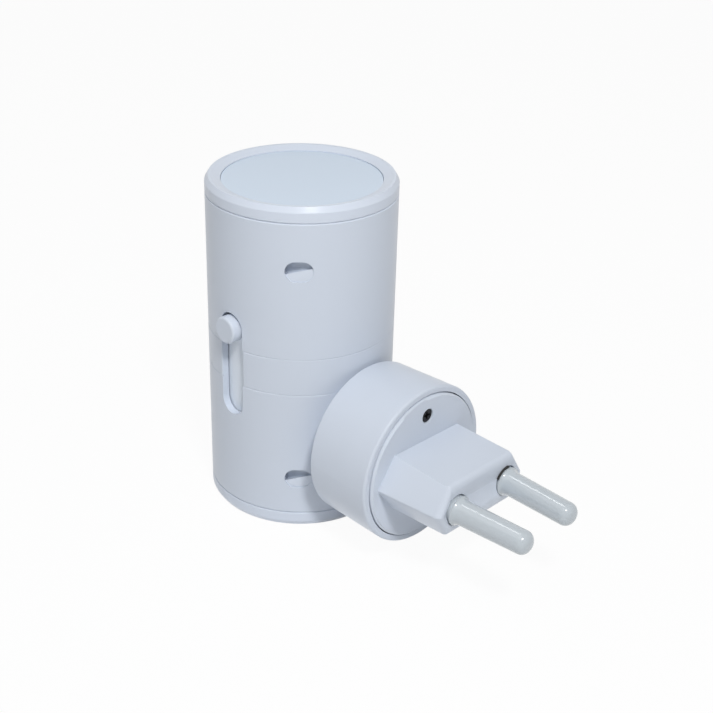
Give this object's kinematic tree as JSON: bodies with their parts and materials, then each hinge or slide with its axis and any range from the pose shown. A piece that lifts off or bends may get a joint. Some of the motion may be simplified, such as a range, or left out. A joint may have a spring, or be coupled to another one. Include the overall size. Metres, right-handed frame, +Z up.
{
  "type": "plug in night light",
  "caption": "Small round up-and-down night light on a swivelling two-pin plug, with a slide dimmer, frosted end lenses and push-on pin caps.",
  "frame": {"origin": "centre of the plug's end face, midway between the two pins", "axes": "+Y points into the wall socket along the plug, +Z is up along the lamp tube, and the slide button looks along +X"},
  "size_m": [0.0522, 0.1122, 0.0915],
  "materials": {
    "white_plastic": "satin moulded plastic",
    "frosted_lens": "frosted translucent plastic",
    "reflector_white": "matt white",
    "carrier_plastic": "matt moulded plastic",
    "circuit_board": "solder mask",
    "light_board": "white solder mask",
    "led": "phosphor gel",
    "component_dark": "moulded epoxy",
    "component_colour": "lacquer",
    "terminal_plastic": "moulded plastic",
    "capacitor_sleeve": "shrink sleeve",
    "wire_red": "pvc insulation",
    "wire_brown": "pvc insulation",
    "wire_blue": "pvc insulation",
    "lead_sheath": "pvc sheath",
    "black_rubber": "matt rubber",
    "washer_fibre": "fibre",
    "steel": "zinc plated",
    "dark_steel": "blackened screw steel",
    "brass_pin": "nickel plated brass",
    "cap_plastic": "frosted translucent polyethylene"
  },
  "bodies": {
    "plug_head": {"head_shell": "white_plastic", "plug_plate": "white_plastic", "plate_screws": "dark_steel", "live_pin": "brass_pin", "neutral_pin": "brass_pin", "pin_sleeves": "reflector_white", "pin_keeper": "carrier_plastic", "keeper_screw": "steel", "live_wire": "wire_brown", "neutral_wire": "wire_blue", "head_lead": "lead_sheath", "lead_grommet": "black_rubber", "friction_washer": "washer_fibre", "stop_ring": "steel", "swivel_clip": "steel"},
    "lamp": {"upper_cover": "white_plastic", "middle_band": "white_plastic", "lower_cover": "white_plastic", "top_ring": "white_plastic", "bottom_ring": "white_plastic", "top_lens": "frosted_lens", "bottom_lens": "frosted_lens", "top_reflector": "reflector_white", "bottom_reflector": "reflector_white", "top_led_board": "light_board", "bottom_led_board": "light_board", "top_leds": "led", "bottom_leds": "led", "top_carrier": "carrier_plastic", "bottom_carrier": "carrier_plastic", "led_screws": "steel", "driver_board": "circuit_board", "mains_terminal": "terminal_plastic", "fuse_resistor": "component_colour", "bridge_rectifier": "component_dark", "input_capacitor": "component_colour", "smoothing_capacitor": "capacitor_sleeve", "choke": "component_colour", "driver_chip": "component_dark", "dimmer_case": "steel", "dimmer_track": "component_dark", "top_led_wires": "wire_red", "bottom_led_wires": "wire_red", "lamp_lead": "lead_sheath"},
    "slider": {"dimmer_lever": "carrier_plastic", "slot_shutter": "white_plastic", "slide_button": "white_plastic"},
    "live_cap": {"live_pin_cap": "cap_plastic"},
    "neutral_cap": {"neutral_pin_cap": "cap_plastic"}
  },
  "joints": [
    {"name": "swivel", "type": "hinge", "parent": "plug_head", "child": "lamp", "pos_m": [0, -0.066, 0], "axis": [0, 1, 0], "range_deg": [-170, 170]},
    {"name": "dimmer", "type": "slide", "parent": "lamp", "child": "slider", "axis": [0, 0, -1], "range_m": [0, 0.0208]},
    {"name": "live_cap_pull", "type": "slide", "parent": "plug_head", "child": "live_cap", "axis": [-0.0474, 0.9989, 0], "range_m": [0, 0.0215]},
    {"name": "neutral_cap_pull", "type": "slide", "parent": "plug_head", "child": "neutral_cap", "axis": [0.0474, 0.9989, 0], "range_m": [0, 0.0215]}
  ]
}
